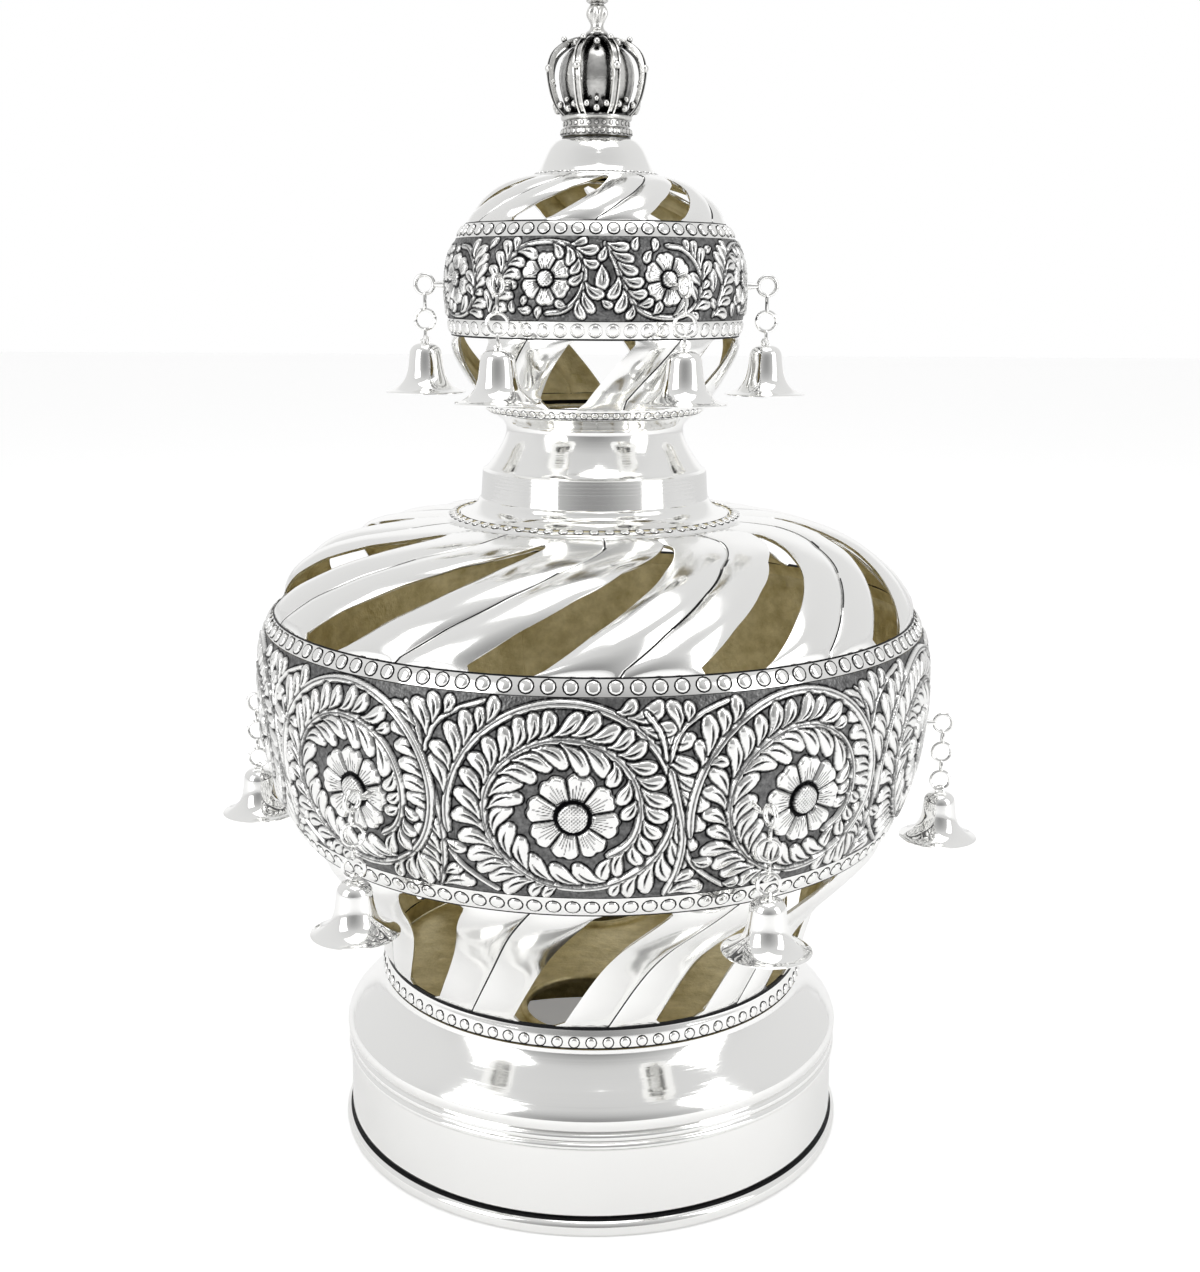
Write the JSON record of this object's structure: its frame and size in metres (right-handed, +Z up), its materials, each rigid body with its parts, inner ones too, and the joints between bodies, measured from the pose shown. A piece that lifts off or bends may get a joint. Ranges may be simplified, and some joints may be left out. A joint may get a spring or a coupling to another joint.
{
  "type": "torah crown",
  "caption": "Silver torah crown: fluted and pierced globes with chased floral bands on a plain collar, a cast crown finial and hanging bells.",
  "frame": {"origin": "centre of the collar's underside, on the surface that the crown stands on", "axes": "+Z up along the crown's turning axis, -Y to the front, +X to the front's right"},
  "size_m": [0.2708, 0.2494, 0.3975],
  "materials": {
    "polished_silver": "sterling silver, spun and polished",
    "chased_silver": "sterling silver, chased, with darkened recesses on the bands",
    "cast_silver": "cast silver, darkened in the recesses",
    "gilt_silver": "dull gilt wash on the inner surfaces"
  },
  "bodies": {
    "root": {"base_collar": "polished_silver", "stave_plate": "gilt_silver", "bulb": "chased_silver", "neck": "polished_silver", "globe": "chased_silver", "cap": "polished_silver", "finial_crown": "cast_silver", "finial_stem": "cast_silver", "bulb_eyelet_1": "polished_silver", "bulb_eyelet_2": "polished_silver", "bulb_eyelet_3": "polished_silver", "bulb_eyelet_4": "polished_silver", "bulb_eyelet_5": "polished_silver", "bulb_eyelet_6": "polished_silver", "bulb_chain_1": "polished_silver", "bulb_chain_2": "polished_silver", "bulb_chain_3": "polished_silver", "bulb_chain_4": "polished_silver", "bulb_chain_5": "polished_silver", "bulb_chain_6": "polished_silver", "globe_eyelet_1": "polished_silver", "globe_eyelet_2": "polished_silver", "globe_eyelet_3": "polished_silver", "globe_eyelet_4": "polished_silver", "globe_eyelet_5": "polished_silver", "globe_eyelet_6": "polished_silver", "globe_chain_1": "polished_silver", "globe_chain_2": "polished_silver", "globe_chain_3": "polished_silver", "globe_chain_4": "polished_silver", "globe_chain_5": "polished_silver", "globe_chain_6": "polished_silver", "bulb_bell_1": "polished_silver", "bulb_bell_2": "polished_silver", "bulb_bell_3": "polished_silver", "bulb_bell_4": "polished_silver", "bulb_bell_5": "polished_silver", "bulb_bell_6": "polished_silver", "globe_bell_1": "polished_silver", "globe_bell_2": "polished_silver", "globe_bell_3": "polished_silver", "globe_bell_4": "polished_silver", "globe_bell_5": "polished_silver", "globe_bell_6": "polished_silver"}
  },
  "joints": []
}
